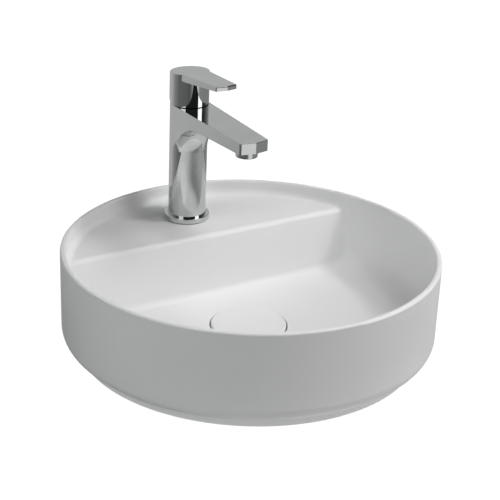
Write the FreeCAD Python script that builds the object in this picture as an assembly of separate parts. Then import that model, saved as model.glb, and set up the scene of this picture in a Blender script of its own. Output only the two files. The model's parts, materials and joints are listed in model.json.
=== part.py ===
import FreeCAD, Part
import math
import os

# Round countertop basin with a tap ledge, a single-lever tap and a push waste.
# Millimetres. Origin on the waste axis in the counter plane, +Z up, spout towards -Y.

# Basin
basin_diameter = 420.0
basin_height = 116.0
rim_width = 6.5
rim_round = 2.4
wall_draft = 1.2
heel_round = 17.0
foot_inset = 19.5
foot_height = 11.5
foot_width = 24.0
foot_round = 1.0
inner_draft = 3.0
bowl_round = 26.0
floor_slope = 0.5
dish_radius = 76.0
dish_slope = 7.0
dish_blend = 260.0
ledge_drop = 17.5
ledge_edge_y = 88.0
ledge_edge_round = 6.0
step_rake = 5.0
bowl_blend = 8.0
floor_thickness = 10.0
ledge_thickness = 12.0
cavity_wall = 9.0
cavity_round = 8.0

# Where the casting is parted into plain pieces that meet face to face
wall_part_inset = 13.0
floor_part_inset = 8.5
step_part_reach = 1.5
ledge_part_drop = 18.5
foot_part_height = 6.0

# Drain recess in the bowl's floor
recess_radius = 44.0
recess_edge_height = 22.2
recess_edge_round = 1.0
recess_floor_height = 10.5
drain_boss_wall = 11.0
drain_boss_lift = 1.5
waste_hole_clearance = 2.05

# Push waste
barrel_radius = 20.95
barrel_wall = 2.95
flange_radius = 33.0
flange_thickness = 2.0
top_seal_thickness = 1.5
seal_clearance = 0.3
bottom_seal_height = 6.0
bottom_seal_radius = 34.0
waste_washer_thickness = 2.0
backnut_height = 13.0
backnut_flats = 56.0
clamp_thread_end = -26.0
runout_width = 2.5
runout_depth = 0.8
tail_end = -75.0
guide_shelf = -14.0
guide_shelf_width = 1.5
guide_height = 10.0
guide_wall = 1.8
guide_hub_margin = 1.2
guide_hub_drop = 10.0
guide_arm_width = 4.0
guide_arms = 3

# Drain plug, drawn raised
cover_gap = 1.5
plug_seal_thickness = 0.9
cover_thickness = 5.5
cover_crown = 0.6
cover_edge_round = 1.8
cover_roof = 3.0
plug_travel = 5.0
plug_seat_gap = 0.1
carrier_radius = 29.5
carrier_thickness = 2.0
plug_seal_inner = 21.0
plug_stem_radius = 4.0
plug_stem_end = -38.0
running_clearance = 0.06
spring_wire = 0.6
spring_clearance = 1.6
spring_turns = 5

# Tap body
tap_setback = 62.0
tap_hole_radius = 17.5
column_radius = 22.0
column_wall = 4.3
body_top_above_ledge = 141.0
spout_reach = 149.5
spout_tip_half_width = 17.7
spout_tip_bulge = 3.9
spout_tip_round = 2.6
spout_edge_round = 0.6
spout_root_underside = 16.5
spout_tip_thickness = 12.6
spout_root_round = 38.0
spout_bore_radius = 3.6
spout_bore_drop = 6.6
base_ring_width = 4.5
base_ring_height = 5.5
base_ring_lip = 1.5
base_ring_round = 0.8
base_seal_thickness = 1.0
base_seal_inset = 1.0
column_hollow_radius = 15.5
column_hollow_height = 60.0
inlet_radius = 4.5
inlet_depth = 15.0
inlet_spread = 7.5
inlet_shift = -3.0
passage_radius = 2.6
slip_clearance = 0.15

# Aerator under the spout's tip
aerator_setback = 19.3
aerator_radius = 12.2
aerator_drop = 8.2
aerator_round = 0.8
aerator_step = 1.0
aerator_thread_depth = 7.0
aerator_wall = 2.2
aerator_lip = 1.2
aerator_seal_thickness = 1.5
aerator_cell = 3.0
aerator_cell_wall = 0.7
aerator_insert_height = 4.0

# Cartridge in the top of the column
cartridge_clearance = 0.3
base_disc_height = 5.5
fixed_disc_height = 4.5
moving_disc_height = 4.0
driver_height = 7.3
disc_clearance = 0.93
cartridge_wall = 1.8
rotor_height = 4.5
rotor_step = 2.8
rotor_gap = 0.2
nut_height = 6.0
nut_clearance = 0.2
neck_wall = 1.1
port_radius = 2.6
port_spread = 5.2
port_seal_wire = 0.9
outlet_window = 8.0

# Handle and its pivot
pivot_below_top = 3.5
dome_clearance = 0.7
dome_thickness = 1.5
dome_rise = 10.0
handle_overhang = 0.8
handle_gap = 0.8
handle_wall = 2.3
handle_centre_height = 38.2
lever_rise = 4.5
lever_reach = 85.5
lever_root_half_width = 18.0
lever_root_inset = 0.8
lever_tip_half_width = 13.1
lever_tip_bulge = 2.6
lever_tip_round = 1.5
lever_root_thickness = 7.5
lever_tip_thickness = 5.2
handle_edge_round = 1.6
handle_roof = 8.5
lift_range = 25.0
bevel_margin = 1.5
stem_width = 7.0
stem_arm = 12.0
stem_foot_radius = 3.0
foot_above_driver = 4.5
stem_top_inset = 3.0
stem_clearance = 0.1
boss_radius = 9.0
boss_drop = 10.0
pin_radius = 2.0
pin_half_length = 7.4
ear_thickness = 3.2
ear_half_depth = 5.0
ear_top = 4.2
screw_radius = 2.4
screw_length = 5.0
plug_radius = 3.0
plug_depth = 1.6
plug_recess = 0.6

# Fixing under the ledge
stud_radius = 4.0
stud_shift = 9.8
stud_grip = 12.0
stud_end = 42.0
horseshoe_radius = 25.0
horseshoe_slot = 14.0
horseshoe_slot_end = 3.0
horseshoe_slot_round = 6.0
horseshoe_seal_thickness = 2.0
horseshoe_plate_thickness = 2.0
horseshoe_hole_clearance = 0.3
fixing_nut_flats = 13.0
fixing_nut_length = 30.0

# Levels and radii that follow from the sizes above
basin_radius = basin_diameter / 2
inner_radius = basin_radius - rim_width
wall_part_radius = basin_radius - wall_part_inset
wall_foot_radius = basin_radius - wall_draft
foot_radius = basin_radius - foot_inset
foot_inner_radius = foot_radius - foot_width
floor_part_radius = foot_inner_radius - floor_part_inset
ledge_z = basin_height - ledge_drop
ledge_part_z = ledge_z - ledge_part_drop
tap_y = basin_radius - tap_setback
outer_fall = math.tan(math.radians(floor_slope))
dish_fall = math.tan(math.radians(dish_slope))
rake = math.tan(math.radians(step_rake))
above = basin_height + basin_radius
below = -basin_radius

flange_seat = recess_floor_height + top_seal_thickness
flange_top = flange_seat + flange_thickness
barrel_bore = barrel_radius - barrel_wall
waste_hole_radius = barrel_radius + waste_hole_clearance
drain_boss_radius = recess_radius + drain_boss_wall
drain_part_radius = drain_boss_radius + cavity_round / 2
bottom_seal_top = drain_boss_lift
waste_washer_top = bottom_seal_top - bottom_seal_height
backnut_top = waste_washer_top - waste_washer_thickness
cover_radius = recess_radius - cover_gap
plug_seal_bottom = flange_top + plug_travel + plug_seat_gap
carrier_bottom = plug_seal_bottom + plug_seal_thickness
carrier_top = carrier_bottom + carrier_thickness
cover_top = carrier_top + cover_roof
cover_bottom = cover_top - cover_thickness
guide_top = guide_shelf + guide_height
guide_bottom = guide_shelf - guide_hub_drop
spring_radius = plug_stem_radius + spring_wire + spring_clearance
guide_hub_radius = spring_radius + spring_wire + guide_hub_margin

column_bottom = ledge_z + base_seal_thickness + base_ring_lip
base_ring_radius = column_radius + base_ring_width
body_top = ledge_z + body_top_above_ledge
spout_tip_y = tap_y - spout_reach
spout_root_under = body_top - spout_root_underside
spout_tip_under = body_top - spout_tip_thickness
aerator_y = spout_tip_y + aerator_setback
aerator_thread_radius = aerator_radius - aerator_step
aerator_bore_radius = aerator_thread_radius - aerator_wall
under_slope = (spout_tip_under - spout_root_under) / (spout_reach - column_radius)
aerator_seat = spout_tip_under - under_slope * aerator_setback
hollow_top = column_bottom + column_hollow_height
inlet_top = hollow_top + inlet_depth
pivot_z = body_top - pivot_below_top
stem_foot_z = pivot_z - stem_arm
driver_bottom = stem_foot_z - foot_above_driver
moving_disc_bottom = driver_bottom - moving_disc_height
fixed_disc_bottom = moving_disc_bottom - fixed_disc_height
seat_z = fixed_disc_bottom - base_disc_height
bore_radius = column_radius - column_wall
cartridge_radius = bore_radius - cartridge_clearance
housing_inner = cartridge_radius - cartridge_wall
rotor_radius = housing_inner - rotor_step
neck_radius = rotor_radius + neck_wall
nut_inner_radius = neck_radius + nut_clearance
rotor_bottom = driver_bottom + driver_height + rotor_gap
rotor_top = rotor_bottom + rotor_height
housing_roof = rotor_bottom - rotor_gap / 2
cartridge_nut_bottom = housing_roof + cartridge_wall
cartridge_nut_top = cartridge_nut_bottom + nut_height
lift = math.radians(lift_range)
disc_radius = housing_inner - stem_arm * math.sin(lift) - disc_clearance
handle_radius = column_radius + handle_overhang
dome_radius = handle_radius - handle_wall - dome_clearance
lever_root_reach = math.sqrt(handle_radius ** 2 - lever_root_half_width ** 2) - lever_root_inset
handle_bottom = body_top + handle_gap
handle_top = body_top + handle_centre_height
handle_roof_z = handle_top - handle_roof
lever_tilt = math.tan(math.radians(lever_rise))
stem_top = handle_top - stem_top_inset
screw_z = handle_roof_z - boss_drop / 2
stud_y = tap_y + stud_shift
ledge_under = ledge_z - ledge_thickness
plate_top = ledge_under - horseshoe_seal_thickness
nut_top = plate_top - horseshoe_plate_thickness


# How near is taken as touching when edges are picked
near_enough = 0.001
near_on_curve = 0.05


def vec(x, y, z):
    return FreeCAD.Vector(x, y, z)


X_AXIS = vec(1, 0, 0)
Y_AXIS = vec(0, 1, 0)
Z_AXIS = vec(0, 0, 1)
ORIGIN = vec(0, 0, 0)


def floor_z(radius):
    """Height of the bowl's floor: a shallow fall to the dish, then a steeper one to the recess."""
    dish = (min(radius, dish_radius) - recess_radius) * dish_fall
    outer = max(radius - dish_radius, 0) * outer_fall
    return recess_edge_height + dish + outer


def rounded_wire(corners):
    """Closed wire through (point, radius) corners, each corner turned with a tangent arc."""
    starts = []
    ends = []
    arcs = []
    count = len(corners)
    for i, (point, radius) in enumerate(corners):
        to_last = (corners[i - 1][0] - point).normalize()
        to_next = (corners[(i + 1) % count][0] - point).normalize()
        if radius == 0:
            starts.append(point)
            ends.append(point)
            arcs.append(None)
            continue
        half = to_last.getAngle(to_next) / 2
        reach = radius / math.tan(half)
        middle = (to_last + to_next).normalize()
        crown = point + middle * (radius / math.sin(half) - radius)
        starts.append(point + to_last * reach)
        ends.append(point + to_next * reach)
        arcs.append(crown)
    edges = []
    for i in range(count):
        if arcs[i]:
            edges.append(Part.Arc(starts[i], arcs[i], ends[i]).toShape())
        after = starts[(i + 1) % count]
        if ends[i].distanceToPoint(after) > near_enough:
            edges.append(Part.LineSegment(ends[i], after).toShape())
    return Part.Wire(edges)


def turned(corners, axis_x=0.0, axis_y=0.0):
    """Solid of revolution about a vertical axis from (radius, z, corner radius) corners."""
    placed = [(vec(axis_x + r, axis_y, z), c) for r, z, c in corners]
    face = Part.Face(rounded_wire(placed))
    return face.revolve(vec(axis_x, axis_y, 0), Z_AXIS, 360)


def side_profile(corners, half_width):
    """Solid of a side outline of (y, z, corner radius) corners, spread evenly to both sides."""
    placed = [(vec(-half_width, y, z), c) for y, z, c in corners]
    return Part.Face(rounded_wire(placed)).extrude(X_AXIS * (2 * half_width))


def plan_profile(corners, bottom, top):
    """Upright solid of a plan outline of (x, y, corner radius) corners."""
    placed = [(vec(x, y, bottom), c) for x, y, c in corners]
    return Part.Face(rounded_wire(placed)).extrude(Z_AXIS * (top - bottom))


def rod(radius, bottom, top, x=0.0, y=0.0):
    return Part.makeCylinder(radius, top - bottom, vec(x, y, bottom), Z_AXIS)


def tube(outer, inner, bottom, top, x=0.0, y=0.0):
    return rod(outer, bottom, top, x, y).cut(rod(inner, bottom, top, x, y))


def block(x0, x1, y0, y1, z0, z1):
    return Part.makeBox(x1 - x0, y1 - y0, z1 - z0, vec(x0, y0, z0))


def hexagon(flats, bottom, top, x=0.0, y=0.0, sides=6):
    corner = flats / 2 / math.cos(math.pi / sides)
    turns = [2 * math.pi * (i + 0.5) / sides for i in range(sides)]
    points = [(x + corner * math.cos(a), y + corner * math.sin(a), 0) for a in turns]
    return plan_profile(points, bottom, top)


def edges_on_both(shape, first, second):
    """Edges of a shape whose middles lie on the skins of two other shapes."""
    found = []
    for edge in shape.Edges:
        at = edge.valueAt((edge.FirstParameter + edge.LastParameter) / 2)
        spot = Part.Vertex(at)
        near = [spot.distToShape(s.Shells[0])[0] < near_enough for s in (first, second)]
        if all(near):
            found.append(edge)
    return found


def circle_edges(shape, radius, z):
    """Round edges of a shape at one radius and height about the waste axis."""
    found = []
    for edge in shape.Edges:
        box = edge.BoundBox
        misses = (box.ZMin - z, box.ZMax - z, box.XMax - radius, box.XMin + radius)
        if all(abs(miss) < near_on_curve for miss in misses):
            found.append(edge)
    return found


def upright_edges(shape, y):
    """Upright edges of a shape at one place along Y."""
    boxes = [(e, e.BoundBox) for e in shape.Edges]
    upright = [(e, box) for e, box in boxes if box.ZLength > near_on_curve]
    return [e for e, box in upright if max(abs(box.YMax - y), abs(box.YMin - y)) < near_enough]


def bowl_space():
    """Room inside the bowl: a turned bowl less the ledge block, blended where they meet."""
    lean = inner_draft / (basin_height - floor_z(inner_radius))
    top_radius = inner_radius + lean * (above - basin_height)
    corner_radius = inner_radius - inner_draft
    bowl = turned([
        (0, floor_z(0), 0),
        (dish_radius, floor_z(dish_radius), dish_blend),
        (corner_radius, floor_z(corner_radius), bowl_round),
        (top_radius, above, 0),
        (0, above, 0),
    ])
    step_foot_y = ledge_edge_y - rake * (ledge_z - below)
    step = side_profile([
        (step_foot_y, below, 0),
        (ledge_edge_y, ledge_z, ledge_edge_round),
        (basin_diameter, ledge_z, 0),
        (basin_diameter, below, 0),
    ], basin_diameter)
    room = bowl.cut(step)
    return room.makeFillet(bowl_blend, edges_on_both(room, bowl, step))


def under_space():
    """Hollow under the bowl's floor, open at the counter."""
    top_corner = floor_z(foot_inner_radius) - floor_thickness
    return turned([
        (0, below, 0),
        (foot_inner_radius, below, 0),
        (foot_inner_radius, top_corner, cavity_round),
        (drain_boss_radius, floor_z(drain_boss_radius) - floor_thickness, cavity_round / 2),
        (drain_boss_radius, drain_boss_lift, 0),
        (0, drain_boss_lift, 0),
    ])


def ledge_space():
    """Hollow under the ledge for the tap's fixing, reached from below."""
    outer = wall_foot_radius - cavity_wall
    shoulder = foot_height + heel_round + cavity_wall
    room = turned([
        (0, below, 0),
        (foot_inner_radius, below, 0),
        (foot_inner_radius, shoulder - foot_width / 2, cavity_round),
        (outer, shoulder, cavity_round),
        (outer, ledge_under, cavity_round),
        (0, ledge_under, 0),
    ])
    front_y = ledge_edge_y + cavity_wall
    behind = side_profile([
        (front_y - rake * (ledge_z - below), below, 0),
        (front_y, ledge_z, 0),
        (basin_diameter, ledge_z, 0),
        (basin_diameter, below, 0),
    ], basin_diameter)
    return room.common(behind)


def casting():
    """The whole ceramic casting, before it is parted."""
    shell = turned([
        (0, 0, 0),
        (foot_radius, 0, foot_round),
        (foot_radius, foot_height, foot_round),
        (wall_foot_radius, foot_height, heel_round),
        (basin_radius, basin_height, rim_round),
        (0, basin_height, 0),
    ])
    shell = shell.cut(bowl_space())
    shell = shell.cut(under_space())
    shell = shell.cut(ledge_space())
    shell = shell.makeFillet(rim_round, circle_edges(shell, inner_radius, basin_height))
    recess = turned([
        (0, recess_floor_height, 0),
        (recess_radius, recess_floor_height, recess_edge_round),
        (recess_radius, basin_height, 0),
        (0, basin_height, 0),
    ])
    shell = shell.cut(recess)
    shell = shell.makeFillet(recess_edge_round, circle_edges(shell, recess_radius, recess_edge_height))
    shell = shell.cut(rod(waste_hole_radius, below, basin_height))
    return shell.cut(rod(tap_hole_radius, ledge_under - bowl_blend, ledge_z + bowl_blend, y=tap_y))


def behind_step(shift):
    """Room behind a plane that is parallel to the step's face, at a distance along Y from it."""
    return side_profile([
        (ledge_edge_y + shift - rake * (ledge_z - below), below, 0),
        (ledge_edge_y + shift + rake * (above - ledge_z), above, 0),
        (basin_diameter, above, 0),
        (basin_diameter, below, 0),
    ], basin_diameter)


whole = casting()
inside = whole.common(rod(wall_part_radius, below, above))
drain_room = rod(drain_part_radius, below, above)
floor_room = rod(floor_part_radius, below, above)
step_room = behind_step(-bowl_blend - step_part_reach)
rear_room = behind_step(cavity_wall + step_part_reach)
ledge_room = rod(basin_diameter, ledge_part_z, above)
foot_room = rod(basin_diameter, below, foot_part_height)


def make_basin_wall():
    return whole.cut(rod(wall_part_radius, below, above))


def make_basin_foot():
    return inside.cut(floor_room).common(foot_room)


def make_basin_heel():
    return inside.cut(floor_room).cut(foot_room).cut(step_room)


def make_basin_rear():
    return inside.common(rear_room).cut([ledge_room, foot_room])


def make_basin_floor():
    return inside.common(floor_room).cut([drain_room, step_room])


def make_basin_drain():
    return inside.common(drain_room)


def make_basin_step():
    return inside.common(step_room).cut([rear_room, ledge_room, foot_room])


def make_basin_ledge():
    return inside.common(step_room).common(ledge_room)


def make_waste_body():
    return turned([
        (barrel_bore, tail_end, 0),
        (barrel_radius, tail_end, 0),
        (barrel_radius, clamp_thread_end - runout_width, 0),
        (barrel_radius - runout_depth, clamp_thread_end - runout_width, 0),
        (barrel_radius - runout_depth, clamp_thread_end, 0),
        (barrel_radius, clamp_thread_end, 0),
        (barrel_radius, flange_seat, 0),
        (flange_radius, flange_seat, 0),
        (flange_radius, flange_top, flange_thickness / 2),
        (barrel_bore, flange_top, flange_thickness / 2),
        (barrel_bore, guide_shelf, 0),
        (barrel_bore - guide_shelf_width, guide_shelf, 0),
        (barrel_bore - guide_shelf_width, guide_shelf - barrel_wall, 0),
        (barrel_bore, guide_shelf - barrel_wall - guide_shelf_width, 0),
    ])


def make_waste_top_seal():
    inner = barrel_radius + seal_clearance
    return tube(flange_radius - base_seal_inset, inner, recess_floor_height, flange_seat)


def make_waste_bottom_seal():
    inner = barrel_radius + seal_clearance
    return turned([
        (inner, waste_washer_top, 0),
        (bottom_seal_radius, waste_washer_top, 0),
        (bottom_seal_radius, waste_washer_top + bottom_seal_height / 2, 0),
        (waste_hole_radius + seal_clearance, bottom_seal_top, 0),
        (inner, bottom_seal_top, 0),
    ])


def make_waste_washer():
    return tube(bottom_seal_radius, barrel_radius + seal_clearance, backnut_top, waste_washer_top)


def make_waste_backnut():
    nut = hexagon(backnut_flats, backnut_top - backnut_height, backnut_top, sides=8)
    return nut.cut(rod(barrel_radius + running_clearance, backnut_top - backnut_height, backnut_top))


def make_plug_guide():
    ring_radius = barrel_bore - running_clearance
    ring = tube(ring_radius, ring_radius - guide_wall, guide_shelf, guide_top)
    hub = rod(guide_hub_radius, guide_bottom, guide_top)
    solid = ring.fuse(hub)
    for i in range(guide_arms):
        half = guide_arm_width / 2
        arm = block(0, ring_radius - guide_wall / 2, -half, half, guide_shelf, guide_top)
        arm.rotate(ORIGIN, Z_AXIS, 360 / guide_arms * i)
        solid = solid.fuse(arm)
    solid = solid.removeSplitter()
    return solid.cut(rod(plug_stem_radius + running_clearance, guide_bottom, guide_top))


def make_plug_cover():
    return turned([
        (0, carrier_top, 0),
        (carrier_radius + seal_clearance, carrier_top, 0),
        (carrier_radius + seal_clearance, cover_bottom, 0),
        (cover_radius, cover_bottom, 0),
        (cover_radius, cover_top - cover_crown, cover_edge_round),
        (0, cover_top, 0),
    ])


def make_plug_carrier():
    return rod(carrier_radius, carrier_bottom, carrier_top)


def make_plug_seal():
    return tube(carrier_radius, plug_seal_inner, plug_seal_bottom, carrier_bottom)


def make_plug_stem():
    return rod(plug_stem_radius, plug_stem_end, carrier_bottom)


def make_plug_spring():
    """Round wire wound about the stem between the guide's hub and the plug's carrier."""
    low = guide_top + spring_wire
    high = carrier_bottom - spring_wire
    quarters = 4 * spring_turns
    pitch = (high - low) / quarters

    def wound(step):
        angle = math.pi / 2 * step
        return vec(spring_radius * math.cos(angle), spring_radius * math.sin(angle), low + pitch * step)

    turns = [Part.Arc(wound(i), wound(i + 0.5), wound(i + 1)).toShape() for i in range(quarters)]
    path = Part.Wire(turns)
    first = [wound(i / 4) for i in range(4)]
    later = [wound(i / 4) for i in range(8, 4 * quarters)]
    gap = min(a.distanceToPoint(b) for a in first for b in later) - 2 * spring_wire
    print("least gap between the spring's turns", round(gap, 2))
    section = Part.Wire(Part.makeCircle(spring_wire, wound(0), Y_AXIS))
    return path.makePipeShell([section], True, False)


def spout_plan(bottom, top):
    """Upright solid of the spout's plan: sides tangent to the column, a tip of two shallow facets."""
    corner_reach = spout_reach - spout_tip_bulge
    far = math.hypot(spout_tip_half_width, corner_reach)
    lean = math.asin(column_radius / far) - math.atan2(spout_tip_half_width, corner_reach)
    root_x = column_radius * math.cos(lean)
    root_y = tap_y - column_radius * math.sin(lean)
    tip_y = tap_y - corner_reach
    right_tip = vec(spout_tip_half_width, tip_y, bottom)
    left_tip = vec(-spout_tip_half_width, tip_y, bottom)
    right_root = vec(root_x, root_y, bottom)
    left_root = vec(-root_x, root_y, bottom)
    outline = Part.Wire([
        Part.LineSegment(left_root, left_tip).toShape(),
        Part.LineSegment(left_tip, vec(0, spout_tip_y, bottom)).toShape(),
        Part.LineSegment(vec(0, spout_tip_y, bottom), right_tip).toShape(),
        Part.LineSegment(right_tip, right_root).toShape(),
        Part.Arc(right_root, vec(0, tap_y + column_radius, bottom), left_root).toShape(),
    ])
    solid = Part.Face(outline).extrude(Z_AXIS * (top - bottom))
    corners = upright_edges(solid, tip_y)
    return solid.makeFillet(spout_tip_round, corners)


def spout_collar():
    """Rounding between the column and the spout's underside, as a ring about the column."""
    reach = column_radius + spout_root_round
    under = spout_root_under + under_slope * spout_root_round
    low = vec(column_radius, tap_y, under - spout_root_round)
    crown = spout_root_round * (1 - math.sqrt(0.5))
    middle = vec(column_radius + crown, tap_y, under - crown)
    outer = vec(reach, tap_y, under)
    top = vec(reach, tap_y, under + spout_tip_thickness / 2)
    inner_top = vec(0, tap_y, top.z)
    inner_low = vec(0, tap_y, low.z)
    outline = Part.Wire([
        Part.Arc(low, middle, outer).toShape(),
        Part.LineSegment(outer, top).toShape(),
        Part.LineSegment(top, inner_top).toShape(),
        Part.LineSegment(inner_top, inner_low).toShape(),
        Part.LineSegment(inner_low, low).toShape(),
    ])
    return Part.Face(outline).revolve(vec(0, tap_y, 0), Z_AXIS, 360)


def spout_water_way():
    """Bore from the cartridge chamber up into the spout and along it to the aerator."""
    high = body_top - spout_bore_drop
    bend = vec(0, tap_y - column_radius - spout_root_round / 2, high)
    start = vec(0, tap_y - bore_radius + cartridge_wall, moving_disc_bottom)
    rise = bend - start
    inner = Part.makeCylinder(spout_bore_radius, rise.Length, start, rise)
    knee = Part.makeSphere(spout_bore_radius, bend)
    run = bend.y - aerator_y
    outer = Part.makeCylinder(spout_bore_radius, run, bend, Y_AXIS * -1)
    return inner.fuse([knee, outer])


def make_tap_body():
    column = rod(column_radius, column_bottom, spout_tip_under, y=tap_y)
    side = side_profile([
        (tap_y + column_radius, spout_root_under - under_slope * 2 * column_radius, 0),
        (spout_tip_y - spout_tip_round, spout_tip_under + under_slope * spout_tip_round, 0),
        (spout_tip_y - spout_tip_round, body_top, 0),
        (tap_y + column_radius, body_top, 0),
    ], column_radius)
    plan = spout_plan(spout_root_under - spout_root_round, body_top)
    collar = spout_collar()
    rim = [e for e in plan.Edges if e.BoundBox.ZMin > body_top - near_enough]
    spout = plan.makeFillet(spout_edge_round, rim).common(side)
    body = column.fuse([spout, collar.common(plan)]).removeSplitter()
    body = body.cut(rod(column_hollow_radius, column_bottom, hollow_top, y=tap_y))
    body = body.cut(rod(bore_radius, seat_z, body_top, y=tap_y))
    for side_x in (-inlet_spread, inlet_spread):
        body = body.cut(rod(inlet_radius, hollow_top, inlet_top, side_x, tap_y + inlet_shift))
        body = body.cut(rod(passage_radius, inlet_top, seat_z, side_x, tap_y + inlet_shift))
    body = body.cut(rod(stud_radius, hollow_top, hollow_top + stud_grip, y=stud_y))
    body = body.cut(spout_water_way())
    socket_top = aerator_seat + aerator_thread_depth
    socket = rod(aerator_thread_radius + slip_clearance, below, socket_top, y=aerator_y)
    return body.cut(socket)


def make_tap_base_ring():
    low = ledge_z + base_seal_thickness
    return turned([
        (column_hollow_radius, low, 0),
        (base_ring_radius, low, 0),
        (base_ring_radius, low + base_ring_height, base_ring_round),
        (column_radius + slip_clearance, low + base_ring_height, 0),
        (column_radius + slip_clearance, column_bottom, 0),
        (column_hollow_radius, column_bottom, 0),
    ], axis_y=tap_y)


def make_tap_base_seal():
    outer = base_ring_radius - base_seal_inset
    return tube(outer, tap_hole_radius, ledge_z, ledge_z + base_seal_thickness, y=tap_y)


def make_aerator_housing():
    low = aerator_seat - aerator_drop
    shoulder = aerator_seat - under_slope * aerator_radius
    roof = aerator_seat + aerator_thread_depth - aerator_seal_thickness
    return turned([
        (aerator_bore_radius - aerator_lip, low, 0),
        (aerator_radius, low, aerator_round),
        (aerator_radius, shoulder, 0),
        (aerator_thread_radius, shoulder, 0),
        (aerator_thread_radius, roof, 0),
        (aerator_bore_radius, roof, 0),
        (aerator_bore_radius, low + aerator_lip, 0),
        (aerator_bore_radius - aerator_lip, low + aerator_lip, 0),
    ], axis_y=aerator_y)


def make_aerator_insert():
    """Flow straightener: a disc with a honeycomb of through holes."""
    low = aerator_seat - aerator_drop + aerator_lip
    top = low + aerator_insert_height
    disc = rod(aerator_bore_radius - running_clearance, low, top, y=aerator_y)
    row_step = aerator_cell * math.sqrt(3) / 2
    reach = aerator_bore_radius - aerator_lip - aerator_cell / 2
    count = int(reach / row_step)
    cells = []
    for row in range(-count, count + 1):
        shift = aerator_cell / 2 * (row % 2)
        for column in range(-count, count + 1):
            x = column * aerator_cell + shift
            y = row * row_step
            if math.hypot(x, y) < reach:
                cells.append(hexagon(aerator_cell - aerator_cell_wall, low, top, x, aerator_y + y))
    return disc.cut(cells)


def make_aerator_seal():
    top = aerator_seat + aerator_thread_depth
    return tube(aerator_thread_radius, aerator_bore_radius, top - aerator_seal_thickness, top, y=aerator_y)


def make_cartridge_base():
    base = rod(cartridge_radius, seat_z, fixed_disc_bottom, y=tap_y)
    for x, y in port_places():
        base = base.cut(rod(port_radius, seat_z, fixed_disc_bottom, x, y))
        base = base.cut(rod(port_radius + 2 * port_seal_wire, seat_z, seat_z + port_seal_wire, x, y))
    return base


def port_places():
    """Centres of the two inlet ports and the outlet port about the tap's axis."""
    return [
        (-inlet_spread, tap_y + inlet_shift),
        (inlet_spread, tap_y + inlet_shift),
        (0, tap_y + port_spread + port_radius),
    ]


def make_port_seals():
    rings = [tube(port_radius + 2 * port_seal_wire, port_radius, seat_z, seat_z + port_seal_wire, x, y)
             for x, y in port_places()]
    return Part.makeCompound(rings)


def make_fixed_disc():
    disc = rod(housing_inner - slip_clearance, fixed_disc_bottom, moving_disc_bottom, y=tap_y)
    for x, y in port_places():
        disc = disc.cut(rod(port_radius, fixed_disc_bottom, moving_disc_bottom, x, y))
    return disc


def make_moving_disc():
    disc = rod(disc_radius, moving_disc_bottom, driver_bottom, y=tap_y)
    pocket = rod(disc_radius / 2, moving_disc_bottom, moving_disc_bottom + moving_disc_height / 2, y=tap_y)
    return disc.cut(pocket)


def make_disc_driver():
    top = driver_bottom + driver_height
    driver = rod(disc_radius, driver_bottom, top, y=tap_y)
    half = stem_foot_radius + slip_clearance
    socket_floor = stem_foot_z - stem_foot_radius - running_clearance
    socket = block(-half, half, tap_y - half, tap_y + half, socket_floor, top)
    lean = half / math.cos(lift) + (top - stem_foot_z) * math.tan(lift)
    room = block(-half, half, tap_y, tap_y + lean, stem_foot_z, top)
    return driver.cut([socket, room])


def make_cartridge_housing():
    housing = turned([
        (housing_inner, fixed_disc_bottom, 0),
        (cartridge_radius, fixed_disc_bottom, 0),
        (cartridge_radius, cartridge_nut_bottom, 0),
        (neck_radius, cartridge_nut_bottom, 0),
        (neck_radius, rotor_top, 0),
        (rotor_radius + running_clearance, rotor_top, 0),
        (rotor_radius + running_clearance, housing_roof, 0),
        (housing_inner, housing_roof, 0),
    ], axis_y=tap_y)
    half = outlet_window / 2
    window = block(-half, half, tap_y - bore_radius, tap_y - housing_inner + running_clearance,
                   moving_disc_bottom - half, moving_disc_bottom + half)
    return housing.cut(window)


def make_cartridge_nut():
    outer = bore_radius - slip_clearance
    return tube(outer, nut_inner_radius, cartridge_nut_bottom, cartridge_nut_top, y=tap_y)


def make_stem_carrier():
    """Turning head of the cartridge: a slotted disc with two ears for the pivot pin."""
    head = rod(rotor_radius, rotor_bottom, rotor_top, y=tap_y)
    inner = stem_width / 2 + slip_clearance
    outer = inner + ear_thickness
    top = pivot_z + ear_top
    for x0, x1 in ((-outer, -inner), (inner, outer)):
        head = head.fuse(block(x0, x1, tap_y - ear_half_depth, tap_y + ear_half_depth, rotor_bottom, top))
    swing = stem_arm * math.sin(lift)
    half = stem_width / 2 + slip_clearance
    slot = block(-inner, inner, tap_y - swing - half, tap_y + half, rotor_bottom, rotor_top)
    head = head.cut(slot).removeSplitter()
    return head.cut(pivot_hole(pin_radius + slip_clearance / 2))


def pivot_hole(radius):
    start = vec(-2 * pin_half_length, tap_y, pivot_z)
    return Part.makeCylinder(radius, 4 * pin_half_length, start, X_AXIS)


def make_carrier_pin():
    return Part.makeCylinder(pin_radius, 2 * pin_half_length, vec(-pin_half_length, tap_y, pivot_z), X_AXIS)


def make_lever_stem():
    """Square stem on the pivot pin, rounded at the foot that moves the disc driver."""
    half = stem_width / 2
    bar = block(-half, half, tap_y - half, tap_y + half, pivot_z, stem_top)
    arm = rod(stem_foot_radius, stem_foot_z, pivot_z, y=tap_y)
    foot = Part.makeSphere(stem_foot_radius, vec(0, tap_y, stem_foot_z))
    knuckle = Part.makeCylinder(half, stem_width, vec(-half, tap_y, pivot_z), X_AXIS)
    stem = bar.fuse([arm, foot, knuckle]).removeSplitter()
    return stem.cut(pivot_hole(pin_radius + running_clearance))


def make_cartridge_dome():
    """Round cover over the cartridge, centred on the pivot so that the handle tilts about it."""
    ball = Part.makeSphere(dome_radius, vec(0, tap_y, pivot_z))
    hollow = Part.makeSphere(dome_radius - dome_thickness, vec(0, tap_y, pivot_z))
    zone = rod(dome_radius, body_top, pivot_z + dome_rise, y=tap_y)
    return ball.cut(hollow).common(zone)


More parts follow.
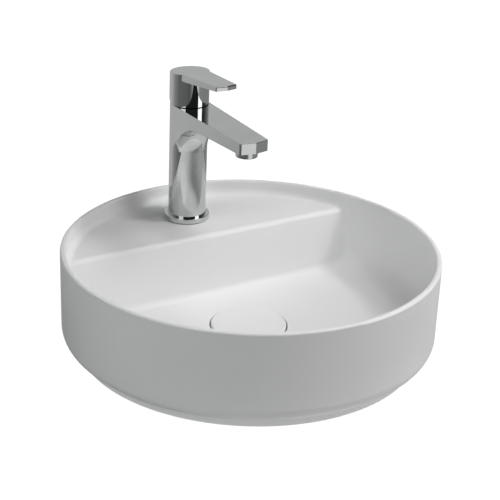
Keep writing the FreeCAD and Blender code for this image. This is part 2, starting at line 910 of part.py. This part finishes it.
def lever_plan(bottom, top):
    """Upright solid of the lever's plan: a taper with a tip of two shallow facets."""
    root_y = tap_y - lever_root_reach
    tip_y = tap_y - lever_reach + lever_tip_bulge
    left_root = vec(-lever_root_half_width, root_y, bottom)
    right_root = vec(lever_root_half_width, root_y, bottom)
    left_tip = vec(-lever_tip_half_width, tip_y, bottom)
    right_tip = vec(lever_tip_half_width, tip_y, bottom)
    outline = Part.Wire([
        Part.LineSegment(left_root, left_tip).toShape(),
        Part.LineSegment(left_tip, vec(0, tap_y - lever_reach, bottom)).toShape(),
        Part.LineSegment(vec(0, tap_y - lever_reach, bottom), right_tip).toShape(),
        Part.LineSegment(right_tip, right_root).toShape(),
        Part.LineSegment(right_root, left_root).toShape(),
    ])
    solid = Part.Face(outline).extrude(Z_AXIS * (top - bottom))
    corners = upright_edges(solid, tip_y)
    return solid.makeFillet(lever_tip_round, corners)


def lever_top(y):
    return handle_top + lever_tilt * (tap_y - y)


def handle_outline():
    """Side outline of the cap: sloped top, and a back cut away so that it can tilt."""
    front_y = tap_y - 2 * handle_radius
    back_y = tap_y + 2 * handle_radius
    cut_slope = math.tan(lift)
    cut_start = (body_top + handle_gap / 2 - pivot_z) / math.cos(lift) + pivot_z
    turn_y = tap_y + (handle_bottom - cut_start) / cut_slope - bevel_margin
    back_low = handle_bottom + cut_slope * (back_y - turn_y)
    return side_profile([
        (front_y, handle_bottom, 0),
        (turn_y, handle_bottom, 0),
        (back_y, back_low, 0),
        (back_y, lever_top(back_y), 0),
        (front_y, lever_top(front_y), 0),
    ], 2 * handle_radius)


def make_lever_handle():
    high = lever_top(tap_y - 2 * lever_reach)
    cap = rod(handle_radius, handle_bottom, high, y=tap_y).common(handle_outline())
    root_y = tap_y - handle_radius
    tip_y = tap_y - lever_reach
    plate_side = side_profile([
        (tap_y, lever_top(tap_y) - lever_root_thickness, 0),
        (root_y, lever_top(root_y) - lever_root_thickness, 0),
        (tip_y - lever_tip_bulge, lever_top(tip_y) - lever_tip_thickness, 0),
        (tip_y - lever_tip_bulge, lever_top(tip_y - lever_tip_bulge), 0),
        (tap_y, lever_top(tap_y), 0),
    ], handle_radius)
    plate = lever_plan(handle_bottom, high).common(plate_side)
    handle = cap.fuse(plate).removeSplitter()
    top_edges = [e for e in handle.Edges if on_lever_top(e)]
    handle = handle.makeFillet(handle_edge_round, top_edges)
    handle = handle.cut(rod(handle_radius - handle_wall, below, handle_roof_z, y=tap_y))
    boss = rod(boss_radius, handle_roof_z - boss_drop, handle_roof_z + handle_wall, y=tap_y)
    handle = handle.fuse(boss).removeSplitter()
    half = stem_width / 2 + stem_clearance
    handle = handle.cut(block(-half, half, tap_y - half, tap_y + half, below, stem_top + stem_clearance))
    handle = handle.cut(back_bore(screw_radius, 0, 2 * handle_radius))
    return handle.cut(back_bore(plug_radius, handle_radius - plug_depth, 2 * handle_radius))


def on_lever_top(edge):
    """True for an edge that lies in the handle's sloped top."""
    places = (edge.FirstParameter, (edge.FirstParameter + edge.LastParameter) / 2, edge.LastParameter)
    points = [edge.valueAt(place) for place in places]
    return all(abs(p.z - lever_top(p.y)) < near_enough for p in points)


def back_bore(radius, start, end):
    """Rod towards the back at the height of the handle's screw."""
    return Part.makeCylinder(radius, end - start, vec(0, tap_y + start, screw_z), Y_AXIS)


def make_set_screw():
    start = stem_width / 2
    return back_bore(screw_radius - slip_clearance / 2, start, start + screw_length)


def make_index_plug():
    outer_end = handle_radius - plug_recess
    return back_bore(plug_radius - slip_clearance / 2, handle_radius - plug_depth, outer_end)


def make_fixing_stud():
    return rod(stud_radius - running_clearance, stud_end, hollow_top + stud_grip, y=stud_y)


def horseshoe(bottom, top):
    """Round plate open towards the front for the supply hoses, with a hole for the stud."""
    plate = rod(horseshoe_radius, bottom, top, y=tap_y)
    mouth_y = tap_y - 2 * horseshoe_radius
    slot = plan_profile([
        (-horseshoe_slot, mouth_y, 0),
        (horseshoe_slot, mouth_y, 0),
        (horseshoe_slot, tap_y + horseshoe_slot_end, horseshoe_slot_round),
        (-horseshoe_slot, tap_y + horseshoe_slot_end, horseshoe_slot_round),
    ], bottom, top)
    return plate.cut([slot, rod(stud_radius + horseshoe_hole_clearance, bottom, top, y=stud_y)])


def make_horseshoe_seal():
    return horseshoe(plate_top, ledge_under)


def make_horseshoe_plate():
    return horseshoe(nut_top, plate_top)


def make_fixing_nut():
    nut = hexagon(fixing_nut_flats, nut_top - fixing_nut_length, nut_top, y=stud_y)
    return nut.cut(rod(stud_radius + running_clearance, nut_top - fixing_nut_length, nut_top, y=stud_y))


nodes = {
    "basin_wall": make_basin_wall,
    "basin_foot": make_basin_foot,
    "basin_heel": make_basin_heel,
    "basin_rear": make_basin_rear,
    "basin_floor": make_basin_floor,
    "basin_drain": make_basin_drain,
    "basin_step": make_basin_step,
    "basin_ledge": make_basin_ledge,
    "waste_body": make_waste_body,
    "waste_top_seal": make_waste_top_seal,
    "waste_bottom_seal": make_waste_bottom_seal,
    "waste_washer": make_waste_washer,
    "waste_backnut": make_waste_backnut,
    "plug_guide": make_plug_guide,
    "plug_cover": make_plug_cover,
    "plug_carrier": make_plug_carrier,
    "plug_seal": make_plug_seal,
    "plug_stem": make_plug_stem,
    "plug_spring": make_plug_spring,
    "tap_body": make_tap_body,
    "tap_base_ring": make_tap_base_ring,
    "tap_base_seal": make_tap_base_seal,
    "aerator_housing": make_aerator_housing,
    "aerator_insert": make_aerator_insert,
    "aerator_seal": make_aerator_seal,
    "cartridge_base": make_cartridge_base,
    "port_seals": make_port_seals,
    "fixed_disc": make_fixed_disc,
    "moving_disc": make_moving_disc,
    "disc_driver": make_disc_driver,
    "cartridge_housing": make_cartridge_housing,
    "cartridge_nut": make_cartridge_nut,
    "stem_carrier": make_stem_carrier,
    "carrier_pin": make_carrier_pin,
    "lever_stem": make_lever_stem,
    "cartridge_dome": make_cartridge_dome,
    "lever_handle": make_lever_handle,
    "set_screw": make_set_screw,
    "index_plug": make_index_plug,
    "fixing_stud": make_fixing_stud,
    "horseshoe_seal": make_horseshoe_seal,
    "horseshoe_plate": make_horseshoe_plate,
    "fixing_nut": make_fixing_nut,
}

os.makedirs("parts", exist_ok=True)
for name, make in nodes.items():
    shape = make()
    print(name, shape.isValid(), len(shape.Solids), round(shape.Volume))
    shape.exportStep(f"parts/{name}.step")
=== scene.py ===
import bpy
import json
import math
from mathutils import Matrix, Vector


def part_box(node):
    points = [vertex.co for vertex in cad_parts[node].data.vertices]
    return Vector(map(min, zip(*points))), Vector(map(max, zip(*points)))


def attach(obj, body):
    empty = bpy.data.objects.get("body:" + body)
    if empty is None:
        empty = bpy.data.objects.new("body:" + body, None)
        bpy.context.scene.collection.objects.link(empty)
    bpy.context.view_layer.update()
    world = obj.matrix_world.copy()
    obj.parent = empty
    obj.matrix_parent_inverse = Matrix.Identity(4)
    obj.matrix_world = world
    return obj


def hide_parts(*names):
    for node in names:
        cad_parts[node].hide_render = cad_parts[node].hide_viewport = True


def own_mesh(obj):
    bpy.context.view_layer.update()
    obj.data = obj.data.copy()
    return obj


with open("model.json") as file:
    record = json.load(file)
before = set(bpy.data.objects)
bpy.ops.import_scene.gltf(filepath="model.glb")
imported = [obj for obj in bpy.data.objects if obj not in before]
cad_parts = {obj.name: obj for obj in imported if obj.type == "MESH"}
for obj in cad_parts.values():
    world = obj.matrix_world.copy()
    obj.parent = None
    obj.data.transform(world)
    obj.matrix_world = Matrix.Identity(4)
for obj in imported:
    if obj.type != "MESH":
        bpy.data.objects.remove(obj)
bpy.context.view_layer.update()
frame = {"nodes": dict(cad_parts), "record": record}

nodes = frame["nodes"]
scene = bpy.context.scene
scene.view_settings.view_transform = "Standard"
print("frame loaded:", len(nodes), "nodes")


# small helpers for node trees
def addNode(tree, kind, at=(0, 0), **settings):
    node = tree.nodes.new(kind)
    node.location = at
    for name, value in settings.items():
        setattr(node, name, value)
    return node


def fill(node, **values):
    for name, value in values.items():
        node.inputs[name.replace("_", " ")].default_value = value
    return node


def join(tree, *pairs):
    for source, target in pairs:
        tree.links.new(source, target)


def grey(tone):
    return tone, tone, tone, 1


def startGroup(name, inputs, outputs):
    tree = bpy.data.node_groups.new(name, "ShaderNodeTree")
    for label, value in inputs.items():
        socket = tree.interface.new_socket(label, in_out="INPUT", socket_type="NodeSocketFloat")
        socket.default_value = value
    for label, kind in outputs.items():
        tree.interface.new_socket(label, in_out="OUTPUT", socket_type=kind)
    return tree, addNode(tree, "NodeGroupInput", (-900, 0)), addNode(tree, "NodeGroupOutput", (700, 0))


# soft cloudy mask, 0 to 1, for shade and gloss that drift over a surface
def makeCloudMask():
    tree, given, out = startGroup("cloudMask", {"Scale": 20.0, "Detail": 3.0, "Low": 0.35, "High": 0.65},
                                  {"Mask": "NodeSocketFloat"})
    coords = addNode(tree, "ShaderNodeTexCoord", (-900, 250))
    noise = addNode(tree, "ShaderNodeTexNoise", (-500, 100))
    spread = addNode(tree, "ShaderNodeMapRange", (-100, 0), interpolation_type="SMOOTHSTEP")
    join(tree,
         (coords.outputs["Object"], noise.inputs["Vector"]),
         (given.outputs["Scale"], noise.inputs["Scale"]),
         (given.outputs["Detail"], noise.inputs["Detail"]),
         (noise.outputs["Fac"], spread.inputs["Value"]),
         (given.outputs["Low"], spread.inputs["From Min"]),
         (given.outputs["High"], spread.inputs["From Max"]),
         (spread.outputs["Result"], out.inputs["Mask"]))
    return tree


# fine uneven skin: glaze peel, moulding grain, polishing ripple
def makeSkinGrain():
    tree, given, out = startGroup("skinGrain", {"Scale": 900.0, "Depth": 0.00002, "Strength": 0.2},
                                  {"Normal": "NodeSocketVector"})
    coords = addNode(tree, "ShaderNodeTexCoord", (-900, 250))
    noise = addNode(tree, "ShaderNodeTexNoise", (-500, 100))
    fill(noise, Detail=2.0, Roughness=0.55)
    bump = addNode(tree, "ShaderNodeBump", (100, 0))
    join(tree,
         (coords.outputs["Object"], noise.inputs["Vector"]),
         (given.outputs["Scale"], noise.inputs["Scale"]),
         (noise.outputs["Fac"], bump.inputs["Height"]),
         (given.outputs["Depth"], bump.inputs["Distance"]),
         (given.outputs["Strength"], bump.inputs["Strength"]),
         (bump.outputs["Normal"], out.inputs["Normal"]))
    return tree


# tool lines round an upright axis, as turning leaves them
def makeTurningLines():
    tree, given, out = startGroup("turningLines", {"Lines": 1500.0, "Depth": 0.00001, "Strength": 0.3},
                                  {"Normal": "NodeSocketVector"})
    coords = addNode(tree, "ShaderNodeTexCoord", (-900, 250))
    wave = addNode(tree, "ShaderNodeTexWave", (-500, 100), wave_type="BANDS", bands_direction="Z")
    fill(wave, Distortion=1.2, Detail=2.0, Detail_Scale=3.0)
    bump = addNode(tree, "ShaderNodeBump", (100, 0))
    join(tree,
         (coords.outputs["Object"], wave.inputs["Vector"]),
         (given.outputs["Lines"], wave.inputs["Scale"]),
         (wave.outputs["Fac"], bump.inputs["Height"]),
         (given.outputs["Depth"], bump.inputs["Distance"]),
         (given.outputs["Strength"], bump.inputs["Strength"]),
         (bump.outputs["Normal"], out.inputs["Normal"]))
    return tree


cloudMask = makeCloudMask()
skinGrain = makeSkinGrain()
turningLines = makeTurningLines()


def placeGroup(tree, group, at, **values):
    node = addNode(tree, "ShaderNodeGroup", at, node_tree=group)
    return fill(node, **values)


# sockets of a mix node that is set to colours
shareIn, firstColour, secondColour, mixedColour = 0, 6, 7, 2


# one finish: two close shades and a gloss range drifted by masks, and a skin
def makeFinish(name, look):
    material = bpy.data.materials.new(name)
    material.use_nodes = True
    tree = material.node_tree
    shader = tree.nodes["Principled BSDF"]
    shade = placeGroup(tree, cloudMask, (-900, 300), Scale=look["shadeScale"], Detail=4.0)
    gloss = placeGroup(tree, cloudMask, (-900, 0), Scale=look["glossScale"], Detail=3.0)
    colour = addNode(tree, "ShaderNodeMix", (-500, 300), data_type="RGBA")
    colour.inputs[firstColour].default_value = (*look["shadeA"], 1)
    colour.inputs[secondColour].default_value = (*look["shadeB"], 1)
    rough = addNode(tree, "ShaderNodeMapRange", (-500, 0))
    fill(rough, To_Min=look["roughness"][0], To_Max=look["roughness"][1])
    if "lines" in look:
        skin = placeGroup(tree, turningLines, (-500, -300), Lines=look["lines"])
    else:
        skin = placeGroup(tree, skinGrain, (-500, -300), Scale=look["grain"])
    fill(skin, Depth=look["depth"], Strength=look["strength"])
    join(tree,
         (shade.outputs["Mask"], colour.inputs[shareIn]),
         (gloss.outputs["Mask"], rough.inputs["Value"]),
         (colour.outputs[mixedColour], shader.inputs["Base Color"]),
         (rough.outputs["Result"], shader.inputs["Roughness"]),
         (skin.outputs["Normal"], shader.inputs["Normal"]))
    for socket, value in look["shader"].items():
        shader.inputs[socket].default_value = value
    return material


finishes = {
    "ceramic": {"shadeA": (0.90, 0.90, 0.897), "shadeB": (0.885, 0.885, 0.882), "shadeScale": 9.0,
                "roughness": (0.40, 0.48), "glossScale": 30.0, "grain": 700.0, "depth": 0.00003,
                "strength": 0.12, "shader": {"Specular IOR Level": 0.4}},
    "chrome": {"shadeA": (0.66, 0.67, 0.675), "shadeB": (0.63, 0.64, 0.645), "shadeScale": 25.0,
               "roughness": (0.03, 0.06), "glossScale": 45.0, "grain": 120.0, "depth": 0.000004,
               "strength": 0.05, "shader": {"Metallic": 1.0}},
    "brass": {"shadeA": (0.78, 0.60, 0.30), "shadeB": (0.70, 0.52, 0.25), "shadeScale": 60.0,
              "roughness": (0.22, 0.34), "glossScale": 120.0, "lines": 1400.0, "depth": 0.00001,
              "strength": 0.25, "shader": {"Metallic": 1.0}},
    "steel": {"shadeA": (0.60, 0.61, 0.62), "shadeB": (0.53, 0.54, 0.55), "shadeScale": 60.0,
              "roughness": (0.25, 0.38), "glossScale": 150.0, "lines": 2200.0, "depth": 0.000008,
              "strength": 0.25, "shader": {"Metallic": 1.0}},
    "rubber": {"shadeA": (0.030, 0.030, 0.031), "shadeB": (0.045, 0.045, 0.046), "shadeScale": 70.0,
               "roughness": (0.65, 0.80), "glossScale": 90.0, "grain": 2600.0, "depth": 0.00004,
               "strength": 0.35, "shader": {"Specular IOR Level": 0.35}},
    "plastic": {"shadeA": (0.76, 0.76, 0.74), "shadeB": (0.72, 0.72, 0.70), "shadeScale": 50.0,
                "roughness": (0.42, 0.55), "glossScale": 80.0, "grain": 1800.0, "depth": 0.00002,
                "strength": 0.25, "shader": {"Specular IOR Level": 0.45}},
    "valve_ceramic": {"shadeA": (0.86, 0.86, 0.84), "shadeB": (0.82, 0.82, 0.80), "shadeScale": 80.0,
                      "roughness": (0.12, 0.2), "glossScale": 100.0, "grain": 1500.0, "depth": 0.000006,
                      "strength": 0.1, "shader": {"Specular IOR Level": 0.5}},
    "index": {"shadeA": (0.34, 0.35, 0.37), "shadeB": (0.30, 0.31, 0.33), "shadeScale": 200.0,
              "roughness": (0.15, 0.22), "glossScale": 250.0, "grain": 1200.0, "depth": 0.00001,
              "strength": 0.15, "shader": {"Specular IOR Level": 0.5}},
}
finishOf = {name: makeFinish(name + "Finish", look) for name, look in finishes.items()}
for part in frame["record"]["subparts"]:
    mesh = nodes[part["node"]].data
    mesh.materials.clear()
    mesh.materials.append(finishOf[part["material_slot"]])
print("finishes made:", len(finishOf))


weldGap = 0.000001
smoothBelow = math.radians(35)


# a small section wound about the upright axis and closed at both ends
def windSection(name, half, at, look):
    bpy.ops.object.select_all(action="DESELECT")
    bpy.ops.mesh.primitive_circle_add(vertices=look["corners"], radius=1.0, fill_type="NOTHING")
    piece = bpy.context.object
    piece.name = name
    bpy.ops.object.mode_set(mode="EDIT")
    bpy.ops.mesh.select_all(action="SELECT")
    bpy.ops.transform.rotate(value=math.pi / 2, orient_axis="X", center_override=(0, 0, 0))
    bpy.ops.transform.resize(value=(half[0], 1, half[1]))
    bpy.ops.transform.translate(value=at)
    bpy.ops.object.mode_set(mode="OBJECT")
    wind = piece.modifiers.new("wind", "SCREW")
    wind.axis = "Z"
    wind.screw_offset = look["pitch"]
    wind.iterations = look["turns"]
    wind.steps = wind.render_steps = look["steps"]
    bpy.ops.object.modifier_apply(modifier=wind.name)
    bpy.ops.object.mode_set(mode="EDIT")
    bpy.ops.mesh.select_mode(type="EDGE")
    bpy.ops.mesh.select_all(action="DESELECT")
    bpy.ops.mesh.select_non_manifold()
    bpy.ops.transform.translate(value=(-look["runOut"], 0, 0))
    bpy.ops.mesh.select_all(action="SELECT")
    bpy.ops.mesh.fill_holes(sides=look["corners"])
    bpy.ops.mesh.remove_doubles(threshold=weldGap)
    bpy.ops.mesh.normals_make_consistent(inside=False)
    bpy.ops.object.mode_set(mode="OBJECT")
    bpy.ops.object.shade_smooth_by_angle(angle=smoothBelow)
    return piece


# thread on the waste's tail: a vee wound down the barrel at its trade pitch
thread = {"radius": 0.0209, "top": -0.0305, "height": 0.0004, "halfWidth": 0.00105, "pitch": -0.002309,
          "turns": 18, "steps": 64, "corners": 4, "runOut": 0.0006}
threadStart = (thread["radius"], 0, thread["top"])
tailThread = windSection("tailThread", (thread["height"], thread["halfWidth"]), threadStart, thread)
tailThread.data.materials.append(finishOf["chrome"])
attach(tailThread, "basin")

# the plug's spring, wound in place of the packed spring; the real one shortens towards its guide as the plug
# is pushed down, this one stays at its rest length
coil = {"wire": 0.0006, "turns": 5, "steps": 48, "corners": 12, "runOut": 0.0, "stroke": 0.005}
coilLow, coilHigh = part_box("plug_spring")
coilHeight = coilHigh[2] - coilLow[2]
coil["pitch"] = (coilHeight - 2 * coil["wire"]) / coil["turns"]
coilStart = (coilHigh[0] - coil["wire"], 0, coilLow[2] + coil["wire"])
plugCoil = windSection("plugCoil", (coil["wire"], coil["wire"]), coilStart, coil)
plugCoil.data.materials.append(finishOf["steel"])
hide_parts("plug_spring")
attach(plugCoil, "basin")
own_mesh(plugCoil)
print("wound pieces made:", len(tailThread.data.polygons), "and", len(plugCoil.data.polygons), "faces")


# plain pale floor, open under the basin's foot as a counter's cut-out is; in mirrors it shows painted
# reflection tones by degrees about the tap
floorLook = {"hole": 0.1893, "reach": 8.0, "corners": 128, "bounce": 0.35, "shadowShare": 0.25, "glow": 0.95,
             "spill": 0.47, "spillRadii": (0.185, 0.26), "spillTurn": -70, "spillSides": (0.0, 0.16),
             "spillLeast": 0.4, "centre": (0, 0.148, 0),
             "tones": {-180: 0.16, -132: 0.14, -118: 0.10, -104: 0.25, -95: 0.85, -72: 0.85, -60: 0.30,
                       -33: 0.28, 30: 0.25, 50: 0.51, 125: 0.54, 150: 0.30, 180: 0.16}}
bpy.ops.object.select_all(action="DESELECT")
bpy.ops.mesh.primitive_circle_add(vertices=floorLook["corners"], radius=floorLook["hole"], fill_type="NOTHING")
floor = bpy.context.object
floor.name = "floor"
bpy.ops.object.mode_set(mode="EDIT")
bpy.ops.mesh.select_all(action="SELECT")
bpy.ops.mesh.extrude_edges_move()
grow = floorLook["reach"] / floorLook["hole"]
bpy.ops.transform.resize(value=(grow, grow, 1))
bpy.ops.mesh.select_all(action="SELECT")
bpy.ops.mesh.normals_make_consistent(inside=False)
bpy.ops.object.mode_set(mode="OBJECT")
if floor.data.polygons[0].normal.z < 0:
    floor.data.flip_normals()


# tone of the studio by compass angle about an upright axis, as polished metal mirrors it
def studioTone(tree, vector, tones, at):
    split = addNode(tree, "ShaderNodeSeparateXYZ", at)
    angle = addNode(tree, "ShaderNodeMath", (at[0] + 200, at[1]), operation="ARCTAN2")
    turn = addNode(tree, "ShaderNodeMapRange", (at[0] + 400, at[1]))
    fill(turn, From_Min=-math.pi, From_Max=math.pi)
    ramp = addNode(tree, "ShaderNodeValToRGB", (at[0] + 600, at[1]))
    stops = ramp.color_ramp.elements
    for degrees, tone in tones.items():
        place = (degrees + 180) / 360
        stop = stops[0] if place == 0 else stops[-1] if place == 1 else stops.new(place)
        stop.color = grey(tone)
    join(tree,
         (vector, split.inputs[0]),
         (split.outputs["Y"], angle.inputs[0]),
         (split.outputs["X"], angle.inputs[1]),
         (angle.outputs[0], turn.inputs["Value"]),
         (turn.outputs["Result"], ramp.inputs["Fac"]))
    return ramp.outputs["Color"]


# one shader for mirrors, one for the camera and one for all other rays
def switchRays(tree, path, other, mirrored, seen, at):
    mixGlossy = addNode(tree, "ShaderNodeMixShader", at)
    mixCamera = addNode(tree, "ShaderNodeMixShader", (at[0] + 200, at[1]))
    join(tree,
         (path.outputs["Is Glossy Ray"], mixGlossy.inputs[0]),
         (other.outputs[0], mixGlossy.inputs[1]),
         (mirrored.outputs[0], mixGlossy.inputs[2]),
         (path.outputs["Is Camera Ray"], mixCamera.inputs[0]),
         (mixGlossy.outputs[0], mixCamera.inputs[1]),
         (seen.outputs[0], mixCamera.inputs[2]))
    return mixCamera.outputs[0]


floorMat = bpy.data.materials.new("paleFloor")
floorMat.use_nodes = True
tree = floorMat.node_tree
tree.nodes.clear()
path = addNode(tree, "ShaderNodeLightPath", (-700, 500))
shape = addNode(tree, "ShaderNodeNewGeometry", (-700, 200))
coords = addNode(tree, "ShaderNodeTexCoord", (-1700, -300))
bounce = fill(addNode(tree, "ShaderNodeBsdfDiffuse", (-400, 200)), Color=grey(floorLook["bounce"]))
# light table: the floor shines softly on the foot, most at its front, and fades out past the rim
away = addNode(tree, "ShaderNodeVectorMath", (-1100, 350), operation="LENGTH")
fade = addNode(tree, "ShaderNodeMapRange", (-900, 350), interpolation_type="SMOOTHSTEP")
spillNear, spillFar = floorLook["spillRadii"]
fill(fade, From_Min=spillNear, From_Max=spillFar, To_Min=1.0, To_Max=0.0)
spillTurn = math.radians(floorLook["spillTurn"])
facing = addNode(tree, "ShaderNodeVectorMath", (-1300, 550), operation="DOT_PRODUCT")
facing.inputs[1].default_value = (math.cos(spillTurn), math.sin(spillTurn), 0)
sided = addNode(tree, "ShaderNodeMapRange", (-1100, 550), interpolation_type="SMOOTHSTEP")
sideLow, sideHigh = floorLook["spillSides"]
fill(sided, From_Min=sideLow, From_Max=sideHigh, To_Min=floorLook["spillLeast"])
share = addNode(tree, "ShaderNodeMath", (-800, 450), operation="MULTIPLY")
spill = fill(addNode(tree, "ShaderNodeEmission", (-600, 350)), Strength=floorLook["spill"])
lit = addNode(tree, "ShaderNodeAddShader", (-200, 250))
join(tree,
     (coords.outputs["Object"], away.inputs[0]),
     (away.outputs["Value"], fade.inputs["Value"]),
     (coords.outputs["Object"], facing.inputs[0]),
     (facing.outputs["Value"], sided.inputs["Value"]),
     (fade.outputs["Result"], share.inputs[0]),
     (sided.outputs["Result"], share.inputs[1]),
     (share.outputs[0], spill.inputs["Color"]),
     (bounce.outputs[0], lit.inputs[0]),
     (spill.outputs[0], lit.inputs[1]))
# the camera sees a near white floor with a faint shadow, and through it from below
shadow = fill(addNode(tree, "ShaderNodeBsdfDiffuse", (-400, 0)), Color=grey(floorLook["shadowShare"]))
glow = fill(addNode(tree, "ShaderNodeEmission", (-400, -150)), Strength=floorLook["glow"])
seen = addNode(tree, "ShaderNodeAddShader", (-200, -50))
# painted reflection: to glossy rays the floor shows these greys, darks and one bright wedge by degrees about
# the tap, not its own white
mirror = addNode(tree, "ShaderNodeEmission", (-400, -300))
about = addNode(tree, "ShaderNodeVectorMath", (-1500, -300), operation="SUBTRACT")
about.inputs[1].default_value = floorLook["centre"]
toneAbout = studioTone(tree, about.outputs[0], floorLook["tones"], (-1300, -300))
clear = addNode(tree, "ShaderNodeBsdfTransparent", (0, 300))
fromAbove = switchRays(tree, path, lit, mirror, seen, (0, 100))
fromBelow = addNode(tree, "ShaderNodeMath", (200, 400), operation="MULTIPLY")
mixBack = addNode(tree, "ShaderNodeMixShader", (400, 100))
output = addNode(tree, "ShaderNodeOutputMaterial", (600, 100))
join(tree,
     (coords.outputs["Object"], about.inputs[0]),
     (toneAbout, mirror.inputs["Color"]),
     (shadow.outputs[0], seen.inputs[0]),
     (glow.outputs[0], seen.inputs[1]),
     (path.outputs["Is Camera Ray"], fromBelow.inputs[0]),
     (shape.outputs["Backfacing"], fromBelow.inputs[1]),
     (fromBelow.outputs[0], mixBack.inputs[0]),
     (fromAbove, mixBack.inputs[1]),
     (clear.outputs[0], mixBack.inputs[2]),
     (mixBack.outputs[0], output.inputs["Surface"]))
floor.data.materials.append(floorMat)

# world: white to the camera, a grey and dark studio in mirrors, and no light of its own
worldLook = {"seen": 1.0, "light": 0.0,
             "tones": {-180: 0.10, -150: 0.02, -60: 0.02, -20: 0.05, 20: 0.30, 45: 0.52, 125: 0.52, 150: 0.30,
                       180: 0.10}}
world = bpy.data.worlds.new("studio")
scene.world = world
world.use_nodes = True
tree = world.node_tree
tree.nodes.clear()
path = addNode(tree, "ShaderNodeLightPath", (-700, 400))
coords = addNode(tree, "ShaderNodeTexCoord", (-1200, -200))
dark = fill(addNode(tree, "ShaderNodeBackground", (-200, 200)), Color=grey(1), Strength=worldLook["light"])
room = addNode(tree, "ShaderNodeBackground", (-200, 0))
white = fill(addNode(tree, "ShaderNodeBackground", (-200, -200)), Color=grey(1), Strength=worldLook["seen"])
roomTone = studioTone(tree, coords.outputs["Generated"], worldLook["tones"], (-1000, -200))
output = addNode(tree, "ShaderNodeOutputWorld", (500, 100))
join(tree,
     (roomTone, room.inputs["Color"]),
     (switchRays(tree, path, dark, room, white, (100, 100)), output.inputs["Surface"]))

# soft boxes round the basin: turn and rise in degrees, size in metres, power in watts;
# mirrored ones show in the chrome, and leftMirror does only that
boxReach = 1.7
boxAim = Vector((0, 0, 0.1))
coolTint = (0.96, 1.0, 0.985)
softBoxes = {
    "keyBox": {"turn": -50, "rise": 45, "size": (0.8, 1.5), "power": 8.7, "mirrored": True},
    "leftMirror": {"turn": -158, "rise": 40, "size": (0.85, 1.4), "power": 5.0, "mirrored": True,
                   "lights": False},
    "leftBox": {"turn": -150, "rise": 30, "size": (0.5, 0.5), "power": 1.8, "tint": coolTint},
    "farLeftBox": {"turn": -180, "rise": 30, "size": (0.5, 0.5), "power": 3.9, "tint": coolTint},
    "lowBox": {"turn": -150, "rise": 5.5, "size": (0.5, 0.3), "power": 3.3, "tint": coolTint},
    "sideBox": {"turn": -30, "rise": 50, "size": (0.3, 0.3), "power": 6.5},
    "highBox": {"turn": -30, "rise": 70, "size": (0.5, 0.5), "power": 2.5},
    "rightBox": {"turn": 0, "rise": 30, "size": (0.5, 0.5), "power": 4.2},
    "frontBox": {"turn": -70, "rise": 55, "size": (0.3, 0.3), "power": 3.6},
    "edgeBox": {"turn": -30, "rise": 12, "size": (0.5, 0.5), "power": 1.8},
    "rearBox": {"turn": 85, "rise": 8, "size": (0.8, 0.4), "power": 3.5},
    "underBox": {"turn": -90, "rise": -80, "size": (0.8, 0.8), "power": 14.0},
}
for name, box in softBoxes.items():
    lamp = bpy.data.lights.new(name, "AREA")
    lamp.shape = "RECTANGLE"
    lamp.size, lamp.size_y = box["size"]
    lamp.energy = box["power"]
    lamp.color = box.get("tint", (1, 1, 1))
    holder = bpy.data.objects.new(name, lamp)
    scene.collection.objects.link(holder)
    turn, rise = math.radians(box["turn"]), math.radians(box["rise"])
    outward = Vector((math.cos(turn) * math.cos(rise), math.sin(turn) * math.cos(rise), math.sin(rise)))
    holder.location = boxAim + boxReach * outward
    holder.rotation_euler = (-outward).to_track_quat("-Z", "Y").to_euler()
    holder.visible_glossy = box.get("mirrored", False)
    holder.visible_diffuse = box.get("lights", True)
print("studio set:", len(softBoxes), "soft boxes")

# camera at the photograph's angle
view = {"lens": 115.2, "sensor": 36.0, "at": (-0.84953, -1.37378, 0.82488),
        "right": (0.85872783, -0.51114802, 0.03625214), "up": (0.1777557, 0.36348717, 0.91448345),
        "ahead": (0.4806136, 0.77884836, -0.40299602)}
lensData = bpy.data.cameras.new("camera")
lensData.lens = view["lens"]
lensData.sensor_width = view["sensor"]
camera = bpy.data.objects.new("camera", lensData)
scene.collection.objects.link(camera)
turn = Matrix((view["right"], view["up"], -Vector(view["ahead"]))).transposed()
camera.matrix_world = Matrix.Translation(view["at"]) @ turn.to_4x4()
scene.camera = camera
